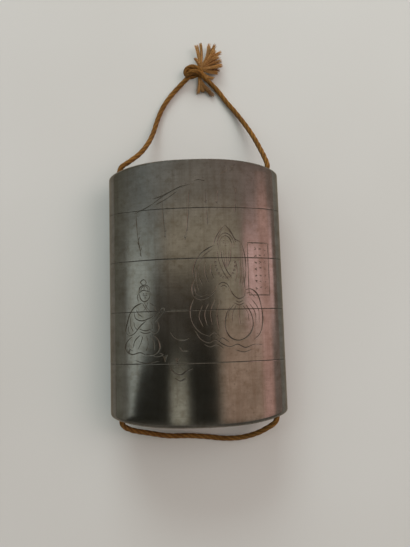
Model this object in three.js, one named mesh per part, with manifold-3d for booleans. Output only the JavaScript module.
// An inro: a flat oval case made of a lid and four stacked boxes, threaded on one
// knotted cord, lying on its back. Millimetres: X across the case, Y along it
// towards the lid, Z up from the surface that it lies on.

import * as THREE from 'three';
import { mergeVertices } from 'three/addons/utils/BufferGeometryUtils.js';
import Module from 'manifold-3d';

const wasm = await Module();
wasm.setup();

// ---- Driving dimensions ----

const WIDTH = 60; // across the case
const DEPTH = 22.1; // of the full oval section
const RESTING_CUT = 0.1; // shaved off the back, the flat that the case lies on
const LENGTH = 88.9; // crown of the bottom to crown of the lid
const LID_HEIGHT = 17.1;
const CASE_HEIGHT = 17.05; // seam to seam, each of the three upper cases
const END_ARCH = 2.9; // how far both ends fall away towards the sides
const RIM_ROUND = 1.2; // radius round the edge of both ends
const FIT_GAP = 0.3; // left between pieces that meet

const COMPARTMENT = { halfWidth: 22.6, halfDepth: 8.75 };
const COMPARTMENT_POWER = 2.5; // of its oval; 2 is an ellipse, more is squarer
const RISER_WALL = 0.8; // thin inner rim that stands up into the piece above
const RISER_HEIGHT = 5;
const RECESS_DEPTH = 5.6; // hollow under a case that takes the rim below it
const FLOOR = 1.3;
const END_WALL = 2; // roof of the lid, floor of the bottom case

const CORD_THICKNESS = 1.7;
const CHANNEL_X = 26.5; // middle of each cord channel, left and right
const CHANNEL_RADIUS = 1.6;

const OUTSIDE_STEPS = 56; // points round the outside of the section
const INSIDE_STEPS = 40; // points round the compartments and rims
const ROUND_STEPS = 3; // facets over the rounded edge of an end
const CHANNEL_SIDES = 16;
const CORD_SIDES = 8;
const CORD_STEPS = 78;

// ---- Derived places ----

const HALF_WIDTH = WIDTH / 2;
const HALF_DEPTH = DEPTH / 2;
const MIDDLE_Z = HALF_DEPTH - RESTING_CUT; // axis of the oval above the surface
const BOTTOM_HEIGHT = LENGTH - LID_HEIGHT - 3 * CASE_HEIGHT;
const CROWN_Y = LENGTH / 2;
const RISER = {
  halfWidth: COMPARTMENT.halfWidth + RISER_WALL,
  halfDepth: COMPARTMENT.halfDepth + RISER_WALL,
};
const RECESS = {
  halfWidth: RISER.halfWidth + FIT_GAP,
  halfDepth: RISER.halfDepth + FIT_GAP,
};

// ---- Materials ----

const metal = () => new THREE.MeshStandardMaterial({ color: 0x5d5951, roughness: 0.42, metalness: 0.85 });
const silk = () => new THREE.MeshStandardMaterial({ color: 0x7d4f27, roughness: 0.8, metalness: 0 });

// ---- Solids ----

// The manifold solid of a closed geometry.
function solid(geometry) {
  const bare = geometry.clone();
  bare.deleteAttribute('normal');
  bare.deleteAttribute('uv');
  const merged = mergeVertices(bare, 1e-4);
  return new wasm.Manifold(new wasm.Mesh({
    numProp: 3,
    vertProperties: Float32Array.from(merged.attributes.position.array),
    triVerts: Uint32Array.from(merged.index.array),
  }));
}

// A named, coloured mesh of a manifold solid.
function piece(name, body, material) {
  const { vertProperties, triVerts } = body.getMesh();
  const geometry = new THREE.BufferGeometry();
  geometry.setAttribute('position', new THREE.Float32BufferAttribute(vertProperties, 3));
  geometry.setIndex(Array.from(triVerts));
  geometry.computeVertexNormals();
  const mesh = new THREE.Mesh(geometry, material);
  mesh.name = name;
  return mesh;
}

// A closed solid through rings of [x, y, z] points. Each ring starts at its +X tip
// and mirrors itself top to bottom, so both ends close in straight rungs.
function loft(rings) {
  const count = rings[0].length;
  const index = [];
  const triangle = (a, b, c) => {
    if (a !== b && b !== c && c !== a) index.push(a, b, c);
  };
  const at = (ring, i) => ring * count + (i % count);
  const last = rings.length - 1;
  for (let ring = 0; ring < last; ring++) {
    for (let i = 0; i < count; i++) {
      triangle(at(ring, i), at(ring + 1, i), at(ring + 1, i + 1));
      triangle(at(ring, i), at(ring + 1, i + 1), at(ring, i + 1));
    }
  }
  for (let i = 0; i < count / 2; i++) {
    const rung = [i, i + 1, count - i - 1, count - i];
    const [a, b, c, d] = rung.map((k) => at(0, k));
    triangle(a, b, c);
    triangle(a, c, d);
    const [e, f, g, h] = rung.map((k) => at(last, k));
    triangle(e, g, f);
    triangle(e, h, g);
  }
  const geometry = new THREE.BufferGeometry();
  geometry.setAttribute('position', new THREE.Float32BufferAttribute(rings.flat(2), 3));
  geometry.setIndex(index);
  return solid(geometry);
}

// How far an end of the case lies in from its crown, at x.
const arch = (x) => END_ARCH * Math.abs(x / HALF_WIDTH) ** 3;

// The outer section, drawn in by inset all round, with its flat back.
function outerSection(inset) {
  return Array.from({ length: OUTSIDE_STEPS }, (_, i) => {
    const angle = (2 * Math.PI * i) / OUTSIDE_STEPS;
    const x = HALF_WIDTH * Math.cos(angle);
    const z = HALF_DEPTH * Math.sin(angle);
    const normal = new THREE.Vector2(x / HALF_WIDTH ** 2, z / HALF_DEPTH ** 2).normalize();
    return [x - inset * normal.x, Math.max(MIDDLE_Z + z - inset * normal.y, inset)];
  });
}

// A squarer oval for the compartments, their rims and the recesses.
function innerSection({ halfWidth, halfDepth }) {
  const swell = (value) => Math.sign(value) * Math.abs(value) ** (2 / COMPARTMENT_POWER);
  return Array.from({ length: INSIDE_STEPS }, (_, i) => {
    const angle = (2 * Math.PI * i) / INSIDE_STEPS;
    return [halfWidth * swell(Math.cos(angle)), MIDDLE_Z + halfDepth * swell(Math.sin(angle))];
  });
}

// A ring of a section at height y, which may be a function of x.
const ring = (section, y) => section.map(([x, z]) => [x, typeof y === 'function' ? y(x) : y, z]);

// A block with the inner section between two heights.
const core = (size, from, to) => loft([ring(innerSection(size), from), ring(innerSection(size), to)]);

// Rings over the rounded edge of an end whose crown is at y, seen from the side
// towards the crown. side is 1 for the lid's end and -1 for the bottom.
function endRings(y, side) {
  return Array.from({ length: ROUND_STEPS + 1 }, (_, i) => {
    const angle = (Math.PI / 2) * (i / ROUND_STEPS);
    const inset = RIM_ROUND * (1 - Math.cos(angle));
    const fall = RIM_ROUND * (1 - Math.sin(angle));
    return ring(outerSection(inset), (x) => y - side * (fall + arch(x)));
  });
}

// Both cord channels, bored through a piece from one height to another.
function channels(from, to) {
  const bores = [-1, 1].map((side) => {
    const bore = new THREE.CylinderGeometry(CHANNEL_RADIUS, CHANNEL_RADIUS, to - from, CHANNEL_SIDES);
    bore.translate(side * CHANNEL_X, (from + to) / 2, MIDDLE_Z);
    return solid(bore);
  });
  return bores[0].add(bores[1]);
}

// ---- The lid and the cases, each with y = 0 at its own lower edge ----

function lid() {
  const section = ring(outerSection(0), FIT_GAP / 2);
  const outside = loft([section, ...endRings(LID_HEIGHT, 1)]);
  const hollow = core(RECESS, -1, (x) => LID_HEIGHT - END_WALL - arch(x));
  return outside.subtract(hollow).subtract(channels(-1, LID_HEIGHT + 1));
}

// The inner rim and the compartment of a case of that height, with its floor at floorTop.
function opened(outside, height, floorTop) {
  const rim = core(RISER, height - FLOOR, height + RISER_HEIGHT);
  return outside.add(rim)
    .subtract(core(COMPARTMENT, floorTop, height + RISER_HEIGHT + 1))
    .subtract(channels(-1, height + 1));
}

function upperCase() {
  const outside = loft([
    ring(outerSection(0), FIT_GAP / 2),
    ring(outerSection(0), CASE_HEIGHT - FIT_GAP / 2),
  ]);
  return opened(outside, CASE_HEIGHT, RECESS_DEPTH + FLOOR).subtract(core(RECESS, -1, RECESS_DEPTH));
}

function bottomCase() {
  const section = ring(outerSection(0), BOTTOM_HEIGHT - FIT_GAP / 2);
  const outside = loft([...endRings(0, -1).reverse(), section]);
  return opened(outside, BOTTOM_HEIGHT, (x) => END_WALL + arch(x));
}

const boxes = new THREE.Group();
const bottom = piece('bottom_case', bottomCase(), metal());
bottom.position.y = -CROWN_Y;
boxes.add(bottom);
['third_case', 'second_case', 'first_case'].forEach((name, i) => {
  const box = piece(name, upperCase(), metal());
  box.position.y = -CROWN_Y + BOTTOM_HEIGHT + i * CASE_HEIGHT;
  boxes.add(box);
});
const cap = piece('lid', lid(), metal());
cap.position.y = CROWN_Y - LID_HEIGHT;
boxes.add(cap);

// ---- The cord: knot, left strand, left channel, loop under the bottom, right
// ---- channel, right strand, knot. On the surface its middle is at z = 0.95.

const CORD_ROUTE = [
  [-0.4, 84.1, 1.9], [-4.2, 80.7, 1], [-8.1, 76.4, 0.95], [-11, 72.1, 0.95],
  [-13.1, 67.1, 1.4], [-14.7, 61.4, 2.8], [-16.4, 56.9, 4.6], [-19.3, 52, 7],
  [-22.7, 48.4, 9.2], [-25.8, 45.5, 10.6], [-CHANNEL_X, 42.2, MIDDLE_Z],
  [-CHANNEL_X, 28, MIDDLE_Z], [-CHANNEL_X, -28, MIDDLE_Z], [-CHANNEL_X, -41.9, MIDDLE_Z],
  [-26, -44.6, 10.6], [-23.6, -46.4, 9.2], [-18.1, -48.3, 5.7], [-11.4, -50, 2.9],
  [-3.9, -50.5, 1.3], [2.5, -51.1, 0.95], [8, -51.7, 1.2], [13.7, -51.4, 2.5],
  [19.1, -49.7, 5.3], [23.2, -47.2, 8.4], [25.8, -44.9, 10.3],
  [CHANNEL_X, -41.9, MIDDLE_Z], [CHANNEL_X, -28, MIDDLE_Z], [CHANNEL_X, 28, MIDDLE_Z],
  [CHANNEL_X, 42.2, MIDDLE_Z], [26.8, 45, 10.7], [25.9, 49, 9], [24.5, 53.5, 6.8],
  [22.6, 58.6, 4.5], [19.8, 64.1, 2.7], [16.4, 69.6, 1.4], [13.3, 73.8, 0.95],
  [10.2, 78.3, 0.95], [7.1, 81.8, 1.1], [4.1, 84.6, 1.9],
].map((point) => new THREE.Vector3(...point));

function cordBody() {
  const radius = CORD_THICKNESS / 2;
  const section = new THREE.Shape(Array.from({ length: CORD_SIDES }, (_, i) => {
    const angle = (2 * Math.PI * (i + 0.5)) / CORD_SIDES;
    return new THREE.Vector2(radius * Math.cos(angle), radius * Math.sin(angle));
  }));
  const route = new THREE.CatmullRomCurve3(CORD_ROUTE, false, 'centripetal');
  return solid(new THREE.ExtrudeGeometry(section, { extrudePath: route, steps: CORD_STEPS }));
}

// ---- The knot: wraps of the cord about a tight middle, and the frayed ends ----

const KNOT_MIDDLE = new THREE.Vector3(0.4, 85.9, 2.45);
const WRAP_RADIUS = 1.45; // to the middle of the wrapped cord
const WRAP_PLACES = [{ shift: -1.5, turn: -0.15 }, { shift: 0.3, turn: 0.3 }, { shift: 1.9, turn: 0.7 }];
const TUFT_ROOT = new THREE.Vector3(2.4, 86.3, 2.4);
const TUFT_TIPS = [
  [2.3, 97.2, 2.2], [4.8, 96.3, 3.4], [8.1, 96.6, 1.6], [10, 95.2, 3.2], [12.3, 92.9, 1.8],
  [11.9, 86.6, 2.6], [11.2, 89.4, 4.2], [3.3, 77.4, 1.2], [6.4, 76.6, 2.6], [-0.3, 92.4, 3.4],
].map((tip) => new THREE.Vector3(...tip));
const TUFT_ROOT_RADIUS = 0.95;
const TUFT_TIP_RADIUS = 0.55;
const TUFT_SIDES = 6;
const UP = new THREE.Vector3(0, 1, 0);

// A round rod from one point to another, its radius changing evenly.
function rod(from, to, fromRadius, toRadius, sides) {
  const along = new THREE.Vector3().subVectors(to, from);
  const geometry = new THREE.CylinderGeometry(toRadius, fromRadius, along.length(), sides);
  geometry.translate(0, along.length() / 2, 0);
  geometry.applyQuaternion(new THREE.Quaternion().setFromUnitVectors(UP, along.normalize()));
  geometry.translate(from.x, from.y, from.z);
  return solid(geometry);
}

// The room that an end of the cord takes in the knot, with the gap round it.
function socket(end, before) {
  const inward = new THREE.Vector3().subVectors(end, before).normalize();
  const deepest = end.clone().addScaledVector(inward, FIT_GAP);
  const radius = CORD_THICKNESS / 2 + FIT_GAP;
  return rod(before, deepest, radius, radius, CORD_SIDES);
}

function knotBody() {
  const middle = new THREE.SphereGeometry(1, 12, 8);
  middle.scale(2.3, 1.9, 1.9);
  middle.translate(...KNOT_MIDDLE.toArray());
  let body = solid(middle);
  for (const { shift, turn } of WRAP_PLACES) {
    const wrap = new THREE.TorusGeometry(WRAP_RADIUS, CORD_THICKNESS / 2, 8, 14);
    wrap.rotateY(Math.PI / 2);
    wrap.rotateZ(turn);
    wrap.translate(KNOT_MIDDLE.x + shift, KNOT_MIDDLE.y, KNOT_MIDDLE.z);
    body = body.add(solid(wrap));
  }
  for (const tip of TUFT_TIPS) {
    body = body.add(rod(TUFT_ROOT, tip, TUFT_ROOT_RADIUS, TUFT_TIP_RADIUS, TUFT_SIDES));
  }
  const [first, second] = CORD_ROUTE;
  const [beforeLast, final] = CORD_ROUTE.slice(-2);
  return body.subtract(socket(first, second)).subtract(socket(final, beforeLast));
}

const threaded = new THREE.Group();
threaded.add(piece('cord', cordBody(), silk()), piece('knot', knotBody(), silk()));

const inro = new THREE.Group();
inro.add(boxes, threaded);

export default inro;
